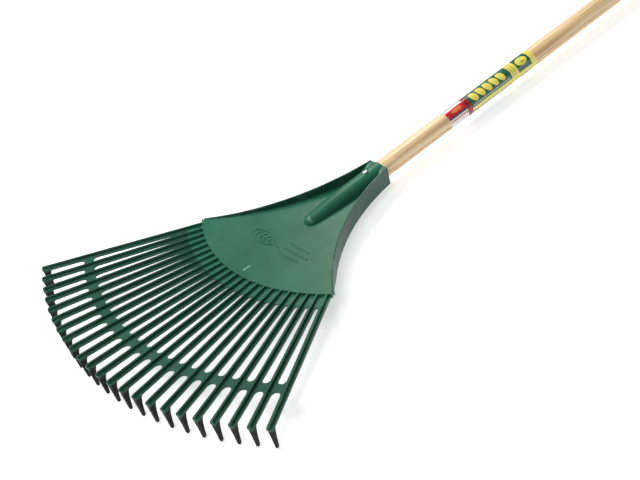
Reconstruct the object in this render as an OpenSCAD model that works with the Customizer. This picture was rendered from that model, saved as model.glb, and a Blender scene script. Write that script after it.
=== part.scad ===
// Lawn leaf rake: a one-piece moulded fan head with 23 hooked tines, screwed to a round wooden handle.
// It lies flat, handle along +Y and tines toward -Y, hook tips on Z = 0, centred on X and Y.

/* [Fan head] */
// Number of tines across the fan
tine_count = 23; // [15:2:27]
// Angle between neighbouring tines, in degrees
tine_pitch = 2.866; // [2.6:0.002:2.9]
// Distance from the meeting point of the tines to the end of the middle one
tine_reach = 495; // [470:1:520]
// Width of each flat tine
tine_w = 9.6; // [7:0.1:10]
// Thickness of the tine webs and of the plate
web_t = 2.6; // [2:0.1:3.2]
// Height of the stiffening rib above the tine web
rib_h = 4; // [2:0.1:5]
// Thickness of the stiffening rib
rib_t = 2.2; // [1.6:0.1:3]
// Width of the cross band between two slots, at its narrowest
band_w = 13; // [8:0.5:20]

/* [Hooks] */
// Depth of the hook tips below the rib tops
hook_depth = 39.6; // [30:0.1:45]
// Thickness of a hook across the tine
hook_t = 5; // [3.6:0.1:6]

/* [Side flanges] */
// Wall thickness of the two side flanges
flange_t = 2.4; // [1.8:0.1:3]
// Height of the flange rim above the plate, at the socket mouth
flange_rise = 14.8; // [8:0.1:18]
// Depth of the flange skirt below the plate, at the socket mouth
flange_drop = 12.5; // [8:0.1:16]

/* [Socket] */
// Outer radius of the socket at its mouth
socket_r = 15; // [14.6:0.1:17]
// Depth of the socket, from its mouth to the outside of its nose
socket_l = 140; // [120:1:160]
// Angle between the plate and the handle, in degrees
tilt = 2.1; // [0:0.1:4]

/* [Handle] */
// Diameter of the round handle
handle_d = 28; // [25:0.5:29]
// Length of the handle, from its tapered end in the socket to its domed end
handle_l = 1200; // [900:10:1500]
// Radius of the tapered end where it enters the socket
neck_r = 12.4; // [11:0.1:12.6]
// Radius of the tapered end at its tip
tip_r = 9.4; // [8:0.1:10]

/* [Fittings] */
// Diameter of the fixing screw's head
screw_head_d = 8; // [6:0.5:10]
// Diameter of the fixing screw's shank
screw_d = 4; // [3:0.1:5]
// Length of the printed label round the handle
label_l = 183; // [100:1:260]
// Thickness of the label
label_t = 0.15; // [0.1:0.05:0.15]

/* [Hidden] */
$fn = 96;

function numbered(name, k) = str(name, "_", k < 10 ? "0" : "", k);

// Head frame: its origin is where the tines meet and its Z = 0 is the top of the plate.
half = tine_pitch / 2;
mid = (tine_count + 1) / 2;
function tine_angle(k) = (k - mid) * tine_pitch;
// Distance from the meeting point, at angle a, to a circle of radius r centred c below that point
function reach(a, c, r) = c * cos(a) + sqrt(r * r - c * c * sin(a) * sin(a));
edge_c = 27.3;
edge_r = 0.4751 * tine_reach;
band_c = 31.8;
band_r = 0.8008 * tine_reach;
end_c = 24.65;
end_r = tine_reach - end_c;
function edge_at(a) = reach(a, edge_c, edge_r);
// The plate's own web runs on under the ribs to this arc, where the separate tines start
root_r = edge_r + 23.2;
function root_at(a) = reach(a, edge_c, root_r);
// Half the gap between two tines, r from the meeting point
function gap(r) = r * sin(half) - tine_w / 2;
function band_at(a) = reach(a, band_c, band_r);
function end_at(a) = reach(a, end_c, end_r);
fan_a = tine_angle(tine_count);
web_top = -rib_h;
web_bot = -rib_h - web_t;
tip_rad = 2;
hook_in = 5.9;
rim_steps = 14;

// Side flange in plan: an arc of radius flange_arc, centred flange_cx out and flange_cy along
flange_arc = 322;
flange_cx = 335;
flange_cy = 41.5;
flange_end = -212;
mouth_y = 2;
function rim_z(y) = flange_rise + 0.025 * y - 0.0002 * y * y;
function skirt_z(y) = -flange_drop + 0.0167 * y;

// Handle frame: the handle's axis is Y, and the socket mouth is at Y = 0.
axis_z = 2.13;
head_l = 112;
shaft_start = 26;
shaft_r = handle_d / 2;
lower_r = shaft_r - 0.5;
handle_end = handle_l - head_l;
dome_h = 7;
label_start = 133;
// The shaft narrows a little below the label, toward the head.
label_seat = 0.15;
seat_r = shaft_r - label_seat - 0.2;
screw_y = -23;

// The whole rake is placed so that its box is centred and its lowest hooks touch Z = 0.
front = tine_reach * cos(tilt) + (axis_z - web_bot) * sin(tilt);
place_y = (front - handle_end) / 2;
low_y = (end_at(fan_a) - hook_in) * cos(fan_a);
place_z = (hook_depth - tip_rad + axis_z) * cos(tilt) - low_y * sin(tilt) + tip_rad;

green = [0.24, 0.45, 0.35];
dark_green = [0.16, 0.33, 0.26];

module in_place() { translate([0, place_y, place_z]) children(); }
module in_head() { in_place() rotate([-tilt, 0, 0]) translate([0, 0, -axis_z]) children(); }
// A round solid about the handle's axis: its profile gives [radius, distance along the axis]
module turned(pts) { rotate([-90, 0, 0]) rotate_extrude() polygon(pts); }

// Outside of the socket: slender cone with a round nose, and a short collar at the mouth
nose = [for (a = [15 : 15 : 90]) [11.7 * sin(a), -socket_l + 12 - 12 * cos(a)]];
module socket_outer(grow = 0) {
    turned(concat([[0, mouth_y + grow], [0, -socket_l]],
        nose,
        [[13.9, -96], [14.7, -70], [socket_r, -4], [socket_r, mouth_y + grow]]));
}
// The handle's tapered end, up to where the full shaft starts
module handle_cone() {
    turned([[0, -head_l], [tip_r - 1.5, -head_l], [tip_r, -head_l + 1.5], [neck_r, 0],
        [neck_r + (lower_r - neck_r) * 0.2, shaft_start * 0.2],
        [lower_r - 0.3, shaft_start * 0.8], [lower_r, shaft_start], [0, shaft_start]]);
}

// Plan of the plate: between the two flange arcs, and inside the arc where the tines start
module plate_plan() {
    difference() {
        intersection() {
            translate([0, -edge_c]) circle(r = edge_r, $fn = 240);
            polygon([[-16, mouth_y], [16, mouth_y], [120, -60], fan_side(1, 400), fan_side(-1, 400),
                [-120, -60]]);
        }
        for (s = [-1, 1]) translate([s * flange_cx, flange_cy]) circle(r = flange_arc, $fn = 240);
    }
}
// A point on the outer edge of the outermost tine, r from the meeting point
function fan_side(s, r) = [s * (r * sin(fan_a) + tine_w / 2 * cos(fan_a)),
                           -(r * cos(fan_a) - tine_w / 2 * sin(fan_a))];

// Pointed leaf outline of length l, along X
module leaf(l) {
    r = l * 0.68;
    intersection() {
        translate([0, sqrt(r * r - l * l / 4)]) circle(r = r);
        translate([0, -sqrt(r * r - l * l / 4)]) circle(r = r);
    }
}
// Raised generic mark: a veined leaf outline and three plain bars
module leaf_mark() {
    translate([-32, -190]) rotate(-6) {
        difference() {
            leaf(54);
            leaf(47);
        }
        translate([-25, -0.8]) square([62, 1.6]);
        for (x = [-14 : 9 : 13], s = [-1, 1]) translate([x, 0]) rotate(s * 48)
            translate([0, -0.6]) square([x < 0 ? 9 : 8, 1.2]);
    }
    for (y = [-179, -190, -201]) translate([13, y]) square([y == -190 ? 46 : 38, 2.4]);
}

// Web between the plate's edge and the start of the tines, notched where each slot begins
module root_plan() {
    difference() {
        intersection() {
            translate([0, -edge_c]) circle(r = root_r, $fn = 240);
            polygon([fan_side(1, 200), fan_side(1, 400), fan_side(-1, 400), fan_side(-1, 200)]);
        }
        translate([0, -edge_c]) circle(r = edge_r - 1, $fn = 240);
        for (k = [1 : tine_count - 1]) {
            a = tine_angle(k) + half;
            rotate(a) translate([0, -root_at(a)]) circle(r = gap(root_at(a)) - 0.5, $fn = 32);
        }
    }
}

// Block that joins the socket to both flanges behind the mouth, sloping down into the channels
module mouth_block() {
    in_head() intersection() {
        translate([0, 0, -30]) linear_extrude(60) plate_plan();
        rotate([90, 0, 90]) translate([0, 0, -20]) linear_extrude(40)
            polygon([[mouth_y, -flange_drop + 0.6], [mouth_y, flange_rise - 0.4], [-5, flange_rise - 1.4],
                [-12, flange_rise - 5], [-20, 4.5], [-25, 1.6], [-29, 0.5], [-29, -flange_drop + 0.2]]);
    }
}

module plate() {
    color(green) difference() {
        in_head() {
            translate([0, 0, -web_t]) linear_extrude(web_t) plate_plan();
            // Lip that steps down from the plate to the tine webs
            translate([0, 0, web_bot]) linear_extrude(-web_bot) difference() {
                plate_plan();
                translate([0, -edge_c]) circle(r = edge_r - 3, $fn = 240);
            }
            translate([0, 0, web_bot]) linear_extrude(web_t) root_plan();
            intersection() {
                for (k = [1 : tine_count]) rotate(tine_angle(k))
                    translate([-rib_t / 2, -300, web_bot])
                        cube([rib_t, 300 - edge_at(tine_angle(k)) + 1, -web_bot]);
                translate([0, -edge_c, -20]) cylinder(r = root_r, h = 40, $fn = 240);
            }
            translate([0, 0, -1]) linear_extrude(1.8) leaf_mark();
            // Rounded moulding gate mark near the plate's edge
            translate([3, -251, -1.1]) rotate([-90, 0, 0]) cylinder(r = 2.6, h = 8, $fn = 32);
            for (y = [-243, -251]) translate([3, y, -1.1]) sphere(r = 2.6, $fn = 32);
        }
        in_place() socket_outer(1);
        in_head() translate([-30, -29, -20]) cube([60, 40, 40]);
    }
}

module socket() {
    color(green) difference() {
        union() {
            in_place() socket_outer();
            mouth_block();
        }
        in_place() handle_cone();
        in_place() translate([0, screw_y, 0]) cylinder(d = screw_d, h = 30, $fn = 32);
    }
}

// One side flange: an upright arc wall cut to its rim and skirt lines
module flange() {
    ys = [for (i = [0 : rim_steps]) mouth_y - i * (mouth_y - flange_end) / rim_steps];
    outline = concat([for (y = ys) [y, rim_z(y)]], [[flange_end, web_bot], [-204, -7], [-198, -9.5], [-190, -14]],
        [for (y = [-180 : 20 : 0]) [y, skirt_z(y)]], [[mouth_y, skirt_z(0)]]);
    difference() {
        in_head() intersection() {
            translate([flange_cx, flange_cy, -30]) difference() {
                cylinder(r = flange_arc, h = 60, $fn = 240);
                translate([0, 0, -1]) cylinder(r = flange_arc - flange_t, h = 62, $fn = 240);
            }
            rotate([90, 0, 90]) linear_extrude(200) polygon(outline);
        }
        in_place() socket_outer(1);
    }
}
module left_flange() { color(dark_green) mirror([1, 0, 0]) flange(); }
module right_flange() { color(dark_green) flange(); }

// Plan of one tine, along -Y: a strip with a rounded end
module tine_plan(e) {
    translate([-tine_w / 2, -e + 3]) square([tine_w, e - 200]);
    translate([-tine_w / 2 + 3, -e]) square([tine_w - 6, 60]);
    for (d = [-1, 1]) translate([d * (tine_w / 2 - 3), -e + 3]) circle(r = 3, $fn = 32);
}

// Side view of a hook: [distance past the hook's line, height], from its root to its round tip
module hook_side() {
    back = [[-19, web_bot + 0.8], [-14.5, web_bot - 0.5], [-11.8, web_bot - 2.4], [-10.4, web_bot - 6],
        [-9.4, web_bot - 12], [-8.6, web_bot - 20], [-hook_in - tip_rad, -hook_depth + tip_rad]];
    round = [for (a = [200 : 20 : 340]) [-hook_in + tip_rad * cos(a), -hook_depth + tip_rad + tip_rad * sin(a)]];
    polygon(concat(back, round, [[-hook_in + tip_rad, -hook_depth + tip_rad], [-2.2, -20], [-0.8, web_bot],
        [-0.2, -2.5], [-1.2, -0.6], [-2.6, 0], [-20, 0]]));
}

// Front view of a hook: [across, height], as thick as the rib at the top and tapered below the web
module hook_front() {
    r = rib_t / 2;
    w = hook_t / 2;
    right = [[r, 0], [r, web_top + 0.6], [w + 0.6, web_top - 0.3], [w + 0.3, web_bot - 2], [w - 0.3, -20],
        [w * 0.7, -hook_depth + 2], [w * 0.35, -hook_depth]];
    polygon(concat(right, [for (i = [len(right) - 1 : -1 : 0]) [-right[i][0], right[i][1]]]));
}

module tine(k) {
    a = tine_angle(k);
    e = end_at(a);
    color(k % 2 == 0 ? green : dark_green) in_head() {
        difference() {
            union() {
                rotate(a) translate([0, 0, web_bot]) linear_extrude(web_t) tine_plan(e);
                rotate(a) translate([-rib_t / 2, -e + 16, web_bot]) cube([rib_t, e - 16 - 200, -web_bot]);
                rotate(a) translate([0, -e, 0]) intersection() {
                    rotate([90, 0, 90]) translate([0, 0, -10]) linear_extrude(20) mirror([1, 0]) hook_side();
                    rotate([90, 0, 0]) translate([0, 0, -30]) linear_extrude(40) hook_front();
                }
            }
            translate([0, -edge_c, -20]) cylinder(r = root_r, h = 40, $fn = 240);
        }
    }
}

// One length of the cross band, between tine k and the next, with hollow round ends
module cross_band(k) {
    a = tine_angle(k) + half;
    r1 = band_at(a) - band_w / 2;
    r2 = band_at(a) + band_w / 2;
    y1 = (r1 + 0.5 + tine_w / 2) / (1 + sin(half));
    y2 = (r2 - 0.5 - tine_w / 2) / (1 - sin(half));
    color(k % 2 == 0 ? dark_green : green) in_head() rotate(a)
        translate([0, 0, web_bot]) linear_extrude(web_t) difference() {
            polygon([for (c = [[-1, y1], [1, y1], [1, y2], [-1, y2]]) [c[0] * gap(c[1]) / cos(half), -c[1]]]);
            translate([0, -y1]) circle(r = gap(y1) - 0.5, $fn = 48);
            translate([0, -y2]) circle(r = gap(y2) - 0.5, $fn = 48);
        }
}

module handle() {
    color("burlywood") in_place() difference() {
        union() {
            handle_cone();
            turned([[0, shaft_start], [lower_r, shaft_start], [seat_r, label_start],
                [shaft_r - label_seat, label_start + label_l], [0, label_start + label_l]]);
            translate([0, label_start + label_l, 0]) rotate([-90, 0, 0])
                cylinder(r = shaft_r, h = handle_end - dome_h - label_start - label_l);
            turned(concat([[0, handle_end - dome_h]],
                [for (t = [0 : 15 : 90])
                    [shaft_r - dome_h + dome_h * cos(t), handle_end - dome_h + dome_h * sin(t)]],
                [[0, handle_end]]));
        }
        translate([0, screw_y, 0]) cylinder(d = screw_d, h = 30, $fn = 32);
    }
}

module fixing_screw() {
    h = screw_head_d / 2;
    color("silver") in_place() translate([0, screw_y, 0]) difference() {
        rotate_extrude($fn = 64)
            polygon([[0, 0], [screw_d / 2, 0], [screw_d / 2, socket_r], [h, socket_r], [h, socket_r + 0.9],
                [h - 0.4, socket_r + 1.5], [h - 1.4, socket_r + 2], [0, socket_r + 2.2]]);
        // Cross recess
        for (a = [45, 135]) rotate(a) translate([-h * 0.55, -0.5, socket_r + 0.8]) cube([h * 1.1, 1, 2]);
    }
}

module handle_label() {
    color("darkgreen") in_place() turned([[seat_r, label_start], [seat_r + label_t, label_start],
        [shaft_r - label_seat + label_t, label_start + label_l],
        [shaft_r - label_seat, label_start + label_l]]);
}

socket();
plate();
left_flange();
right_flange();
for (k = [1 : tine_count]) tine(k);
for (k = [1 : tine_count - 1]) cross_band(k);
handle();
fixing_screw();
handle_label();
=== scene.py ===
import math
import bpy
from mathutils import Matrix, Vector


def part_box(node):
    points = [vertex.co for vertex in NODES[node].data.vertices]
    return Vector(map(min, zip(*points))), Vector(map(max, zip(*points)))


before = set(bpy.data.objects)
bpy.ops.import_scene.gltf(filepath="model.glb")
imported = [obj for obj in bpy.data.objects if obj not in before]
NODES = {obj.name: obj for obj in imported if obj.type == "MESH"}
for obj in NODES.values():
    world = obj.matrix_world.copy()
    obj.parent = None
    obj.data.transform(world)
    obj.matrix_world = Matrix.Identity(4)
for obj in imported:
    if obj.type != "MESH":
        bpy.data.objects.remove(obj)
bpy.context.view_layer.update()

# The fan head's own frame in the CAD: its tilt, its origin, and the handle's axis above its Z = 0 (m)
TILT = math.radians(2.1)
PLACE = Vector((0.0, -0.296506, 0.026545))
AXIS_Z = 0.00213

# Edges sharper than this are rounded, or split for shading
SHARP = math.radians(35)
# Width of the rounded edges on the thin parts
EDGE = 0.0004


# ---------------------------------------------------------------- camera
cam = bpy.data.objects.new("camera", bpy.data.cameras.new("camera"))
cam.data.sensor_width = 36
cam.data.lens = 78.76
cam.data.clip_end = 50
cam.location = (1.31893, -1.20231, 1.16251)
cam.rotation_euler = [math.radians(a) for a in (51.3056, 13.8872, 48.5041)]
bpy.context.collection.objects.link(cam)
bpy.context.scene.camera = cam


# ---------------------------------------------------------------- node helpers
class Nodes:
    """A material's node tree, with short calls for the nodes used here."""

    def __init__(self, name):
        self.mat = bpy.data.materials.new(name)
        self.mat.use_nodes = True
        self.tree = self.mat.node_tree
        self.bsdf = self.tree.nodes["Principled BSDF"]

    def add(self, kind, **settings):
        n = self.tree.nodes.new(kind)
        for key, value in settings.items():
            setattr(n, key, value)
        return n

    def feed(self, socket, v):
        """Sets a socket to a number or a colour, or links it to another node's output."""
        if isinstance(v, (int, float)):
            socket.default_value = v
        elif isinstance(v, tuple):
            socket.default_value = (*v, 1)
        else:
            self.tree.links.new(v, socket)

    def set(self, **values):
        """Constants straight on the shader's own sockets."""
        for key, value in values.items():
            self.bsdf.inputs[key.replace("_", " ")].default_value = value

    def to(self, out, name):
        self.feed(self.bsdf.inputs[name], out)

    def coords(self, scale=(1, 1, 1)):
        m = self.add("ShaderNodeMapping")
        m.inputs["Scale"].default_value = scale
        self.feed(m.inputs["Vector"], self.add("ShaderNodeTexCoord").outputs["Object"])
        return m.outputs["Vector"]

    def xyz(self, vector):
        n = self.add("ShaderNodeSeparateXYZ")
        self.feed(n.inputs[0], vector)
        return n.outputs

    def noise(self, vector, scale, detail=4, rough=0.55, distort=0.0):
        n = self.add("ShaderNodeTexNoise")
        for key, value in (("Vector", vector), ("Scale", scale), ("Detail", detail),
                           ("Roughness", rough), ("Distortion", distort)):
            self.feed(n.inputs[key], value)
        return n.outputs["Fac"]

    def ramp(self, fac, stops, mode="LINEAR"):
        r = self.add("ShaderNodeValToRGB")
        r.color_ramp.interpolation = mode
        e = r.color_ramp.elements
        while len(e) < len(stops):
            e.new(0.5)
        for el, (position, colour) in zip(e, stops):
            el.position = position
            el.color = (*colour, 1)
        self.feed(r.inputs["Fac"], fac)
        return r.outputs["Color"]

    def mask(self, fac, low, high, top=1.0):
        """0 below low, rising to top at high."""
        return self.ramp(fac, [(low, (0, 0, 0)), (high, (top, top, top))])

    def math(self, op, *values, clamp=False):
        n = self.add("ShaderNodeMath", operation=op, use_clamp=clamp)
        for socket, v in zip(n.inputs, values):
            self.feed(socket, v)
        return n.outputs[0]

    def linear(self, v, gain, offset):
        return self.math("ADD", self.math("MULTIPLY", v, gain), offset)

    def between(self, v, low, high):
        return self.math("MULTIPLY", self.math("GREATER_THAN", v, low), self.math("LESS_THAN", v, high))

    def ellipse(self, u, v, centre, radii, slant=0.0):
        """1 inside an ellipse in u and v; slant moves it along u as v grows."""
        dv = self.math("SUBTRACT", v, centre[1])
        du = self.math("SUBTRACT", self.math("SUBTRACT", u, centre[0]), self.math("MULTIPLY", dv, slant))
        du = self.math("DIVIDE", du, radii[0])
        dv = self.math("DIVIDE", dv, radii[1])
        square = self.math("ADD", self.math("MULTIPLY", du, du), self.math("MULTIPLY", dv, dv))
        return self.math("LESS_THAN", square, 1)

    def mix(self, fac, a, b):
        n = self.add("ShaderNodeMix", data_type="RGBA")
        for index, v in ((0, fac), (6, a), (7, b)):     # factor, and the two colours
            self.feed(n.inputs[index], v)
        return n.outputs[2]

    def bump(self, height, strength, distance, normal=None):
        b = self.add("ShaderNodeBump")
        b.inputs["Strength"].default_value = strength
        b.inputs["Distance"].default_value = distance
        self.feed(b.inputs["Height"], height)
        if normal:
            self.feed(b.inputs["Normal"], normal)
        return b.outputs["Normal"]


# ---------------------------------------------------------------- materials
def plastic(name, part):
    """Satin moulded polypropylene with flow mottling and fine spark texture, plus painted shade,
    highlight and reflection on some parts.

    part is "plate" (painted highlight on the gate mark), "sides" (painted shade darkens the walls, with
    painted blue-grey reflection streaks) or "tines" (painted shade darkens them, darker still on the
    hooks).
    """
    n = Nodes(name)
    v = n.coords()
    x, y, z = n.xyz(v)
    broad = n.noise(v, 11, 3)
    flow = n.noise(n.coords(scale=(1, 0.35, 1)), 38, 4, 0.6, 0.8)
    fine = n.noise(v, 260, 5, 0.65)
    col = n.ramp(broad, [(0.3, (0.007, 0.092, 0.045)), (0.7, (0.017, 0.140, 0.074))])
    col = n.mix(n.mask(flow, 0.45, 0.7, 0.35), col, (0.036, 0.135, 0.088))
    col = n.mix(n.mask(fine, 0.52, 0.72, 0.22), col, (0.05, 0.155, 0.108))
    rough = n.math("ADD", n.math("MULTIPLY", broad, 0.12), n.linear(fine, 0.16, 0.26))
    if part == "plate":
        # Painted highlight: a paler green spot on the gate mark where the moulding was fed
        gate_highlight_centre = (0.003, PLACE.y - 0.247 * math.cos(TILT))
        col = n.mix(n.ellipse(x, y, gate_highlight_centre, (0.0026, 0.0068)), col, (0.12, 0.36, 0.22))
    elif part == "sides":
        # Painted reflection: blue-grey streaks that run along the walls
        reflection_streak = n.noise(n.coords(scale=(1, 0.25, 0.5)), 45, 4, 0.62, 1.2)
        # Painted shade: the side walls darkened by half towards near-black
        col = n.mix(0.5, col, (0.004, 0.018, 0.018))
        col = n.mix(n.mask(reflection_streak, 0.5, 0.68, 0.5), col, (0.11, 0.16, 0.18))
    else:
        # Painted shade: the tines darkened towards a dull dark green
        col = n.mix(0.45, col, (0.016, 0.044, 0.030))
        # Height above the plate's top, measured square to it, with a ragged edge to the painted shade on
        # the hooks
        height = n.math("ADD", n.math("MULTIPLY", n.math("SUBTRACT", z, PLACE.z), math.cos(TILT)),
                        n.math("MULTIPLY", n.math("SUBTRACT", y, PLACE.y), math.sin(TILT)))
        height = n.math("ADD", height, AXIS_Z)
        height = n.math("ADD", height, n.math("MULTIPLY", n.math("SUBTRACT", fine, 0.5), 0.004))
        # Painted shade: the hooks below the plate darkened to near-black, and made rougher there
        hook_painted_shade = n.math("DIVIDE", n.math("SUBTRACT", -0.0068, height), 0.0035, clamp=True)
        col = n.mix(hook_painted_shade, col, (0.0015, 0.003, 0.0032))
        rough = n.math("ADD", rough, n.math("MULTIPLY", hook_painted_shade, 0.3))
    n.to(col, "Base Color")
    n.to(rough, "Roughness")
    grain = n.noise(v, 1600, 3, 0.5)
    ripple = n.noise(v, 40, 2, 0.5)
    n.to(n.bump(grain, 0.3, 0.0001, n.bump(ripple, 0.25, 0.0008)), "Normal")
    n.set(IOR=1.38 if part == "tines" else 1.46)
    return n.mat


def wood():
    """Pale ash along Y: long streaky grain, darker growth lines, fine fibre and a thin clear coat."""
    n = Nodes("wood")
    warp = n.noise(n.coords(scale=(1, 0.035, 1)), 14, 3, 0.5)
    # Growth rings about an axis beside the shaft, as in a shaft cut from a bigger stem
    stem = n.add("ShaderNodeVectorMath", operation="ADD")
    stem.inputs[1].default_value = (0.045, 0, 0.03)
    n.feed(stem.inputs[0], n.coords(scale=(1, 0.05, 1)))
    rings = n.add("ShaderNodeTexWave", wave_type="RINGS", rings_direction="Y")
    for key, value in (("Vector", stem.outputs[0]), ("Scale", 34), ("Distortion", 5.5),
                       ("Detail", 3), ("Detail Scale", 1.3)):
        n.feed(rings.inputs[key], value)
    fibre = n.noise(n.coords(scale=(1, 0.012, 1)), 900, 4, 0.6)
    streak = n.noise(n.coords(scale=(1, 0.02, 1)), 190, 5, 0.62)
    col = n.ramp(rings.outputs["Fac"], [(0.0, (0.93, 0.74, 0.47)), (0.45, (0.87, 0.64, 0.36)),
                                        (0.8, (0.68, 0.42, 0.19)), (1.0, (0.46, 0.25, 0.10))])
    pale = n.ramp(warp, [(0.35, (0.93, 0.76, 0.50)), (0.7, (0.80, 0.55, 0.28))])
    col = n.mix(0.45, col, pale)
    col = n.mix(n.mask(streak, 0.47, 0.64, 0.75), col, (0.50, 0.28, 0.11))
    col = n.mix(n.mask(fibre, 0.45, 0.7, 0.22), col, (0.95, 0.80, 0.56))
    n.to(col, "Base Color")
    n.to(n.linear(fibre, 0.18, 0.36), "Roughness")
    n.to(n.bump(fibre, 0.3, 0.0002), "Normal")
    n.set(Coat_Weight=0.1, Coat_Roughness=0.3, IOR=1.35)
    return n.mat


def zinc():
    """Bright zinc plate, a little dulled in patches."""
    n = Nodes("screw")
    dull = n.noise(n.coords(), 700, 4)
    n.to(n.ramp(dull, [(0.35, (0.80, 0.81, 0.82)), (0.75, (0.55, 0.56, 0.58))]), "Base Color")
    n.to(n.linear(dull, 0.2, 0.15), "Roughness")
    n.set(Metallic=1.0)
    return n.mat


def label():
    """Printed film: a striped band at the head end, then green panels with yellow bands and plain shapes.

    along runs from 0 at the head end to 1, and turn is 0 on top and 0.5 on the +X side.
    """
    green, yellow, olive = (0.012, 0.115, 0.055), (0.83, 0.72, 0.12), (0.45, 0.36, 0.04)
    white, red, navy = (0.82, 0.80, 0.78), (0.55, 0.02, 0.03), (0.03, 0.03, 0.07)
    n = Nodes("label")
    x, y, z = n.xyz(n.coords())
    lo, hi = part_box("handle_label")
    along = n.math("DIVIDE", n.math("SUBTRACT", y, lo[1]), hi[1] - lo[1])
    angle = n.math("ARCTAN2", x, n.math("SUBTRACT", z, (lo[2] + hi[2]) / 2))
    turn = n.math("DIVIDE", angle, math.pi)

    col = n.ramp(along, [(0, green), (0.71, yellow), (0.79, green), (0.945, yellow)], "CONSTANT")
    # A row of plain slanted pips, thin lines on the cross band and one plain round spot
    for i in range(5):
        pip = n.ellipse(along, turn, (0.31 + i * 0.078, 0.15), (0.033, 0.19), 0.055)
        col = n.mix(pip, col, yellow)
    for start in (0.728, 0.752):
        col = n.mix(n.between(along, start, start + 0.007), col, olive)
    col = n.mix(n.ellipse(along, turn, (0.866, 0.14), (0.058, 0.17)), col, yellow)
    col = n.mix(n.ellipse(along, turn, (0.875, 0.19), (0.020, 0.045)), col, (0.42, 0.40, 0.06))
    # Pale line and yellow border along one side
    line = n.math("MULTIPLY", n.between(turn, 0.385, 0.425), n.between(along, 0.26, 0.69))
    col = n.mix(line, col, (0.35, 0.45, 0.42))
    col = n.mix(n.between(turn, 0.47, 0.62), col, yellow)
    # Striped band at the head end: white with a broad red stripe, and thin red and navy ones
    stripes = n.mix(n.between(turn, 0.02, 0.31), white, red)
    stripes = n.mix(n.ellipse(along, turn, (0.11, 0.16), (0.055, 0.07)), stripes, (0.80, 0.20, 0.06))
    for low, high, colour in ((0.30, 0.36, navy), (-0.13, -0.08, navy), (0.42, 0.46, red)):
        stripes = n.mix(n.between(turn, low, high), stripes, colour)
    stripes = n.mix(n.between(along, 0.195, 0.245), stripes, (0.30, 0.01, 0.02))
    col = n.mix(n.math("LESS_THAN", along, 0.245), col, stripes)
    # Fine wear of the print
    worn = n.noise(n.coords(), 260, 3)
    col = n.mix(n.mask(worn, 0.55, 0.75, 0.12), col, (0.8, 0.8, 0.75))
    n.to(col, "Base Color")
    n.to(n.linear(worn, 0.12, 0.22), "Roughness")
    n.set(Coat_Weight=0.5, Coat_Roughness=0.12)
    return n.mat


# ---------------------------------------------------------------- CAD nodes
def dress(node, mat, edge=0.0):
    """Gives a CAD node its material and clean shading, with softly rounded edges where edge is set."""
    o = NODES[node]
    o.data.materials.clear()
    o.data.materials.append(mat)
    for p in o.data.polygons:
        p.material_index = 0
        p.use_smooth = True
    weld = o.modifiers.new("weld", "WELD")
    weld.merge_threshold = 0.00001
    flat = o.modifiers.new("flat_faces", "DECIMATE")
    flat.decimate_type = "DISSOLVE"
    flat.angle_limit = math.radians(0.4)
    if edge:
        bevel = o.modifiers.new("edges", "BEVEL")
        bevel.width = edge
        bevel.segments = 2
        bevel.limit_method = "ANGLE"
        bevel.angle_limit = SHARP
        bevel.use_clamp_overlap = True
        shade = o.modifiers.new("shade", "WEIGHTED_NORMAL")
        shade.weight = 100
        shade.mode = "FACE_AREA"
    else:
        o.modifiers.new("split", "EDGE_SPLIT").split_angle = SHARP


plate_mat = plastic("moulding", "plate")
tine_mat = plastic("moulding_tines", "tines")
side_mat = plastic("moulding_sides", "sides")
FITTINGS = {"handle": wood(), "fixing_screw": zinc(), "handle_label": label()}
for name in NODES:
    if name in FITTINGS:
        dress(name, FITTINGS[name])
    elif name.startswith(("tine", "cross_band")):
        dress(name, tine_mat, EDGE)
    elif name.endswith("flange"):
        dress(name, side_mat, EDGE)
    else:
        dress(name, plate_mat)


# ---------------------------------------------------------------- floor and light
FLOOR_HALF = 12
floor_mesh = bpy.data.meshes.new("floor")
corners = [(sx * FLOOR_HALF, sy * FLOOR_HALF, 0) for sx, sy in ((-1, -1), (1, -1), (1, 1), (-1, 1))]
floor_mesh.from_pydata(corners, [], [(0, 1, 2, 3)])
floor = bpy.data.objects.new("floor", floor_mesh)
bpy.context.collection.objects.link(floor)
paper = Nodes("floor")
paper.set(Base_Color=(0.62, 0.62, 0.62, 1), Roughness=1.0, Specular_IOR_Level=0.1,
          Emission_Color=(1, 1, 1, 1), Emission_Strength=0.62)
floor_mesh.materials.append(paper.mat)


def softbox(name, place, aim, size, power, tint=(1, 1, 1)):
    """A rectangular area light at place, turned to face aim."""
    light = bpy.data.lights.new(name, "AREA")
    light.shape = "RECTANGLE"
    light.size, light.size_y = size
    light.energy = power
    light.color = tint
    o = bpy.data.objects.new(name, light)
    o.location = place
    o.rotation_euler = (Vector(aim) - Vector(place)).to_track_quat("-Z", "Y").to_euler()
    bpy.context.collection.objects.link(o)


softbox("key", (-2.0, -1.3, 2.9), (0, -0.3, 0), (1.7, 1.7), 120)
softbox("fill", (0.8, -1.9, 2.9), (0, -0.1, 0), (1.8, 1.8), 50)
softbox("sheen", (-0.66, 0.30, 0.86), (0.12, -0.45, 0.03), (0.34, 0.34), 4.4, (1.0, 0.98, 0.94))
softbox("rim", (2.8, 2.2, 0.9), (0.1, -0.3, 0), (0.5, 1.2), 7, (0.85, 0.93, 1.0))
world = bpy.data.worlds.new("studio")
bpy.context.scene.world = world
world.use_nodes = True
background = world.node_tree.nodes["Background"]
background.inputs["Color"].default_value = (0.93, 0.97, 1, 1)
background.inputs["Strength"].default_value = 0.07
bpy.context.scene.view_settings.view_transform = "Standard"
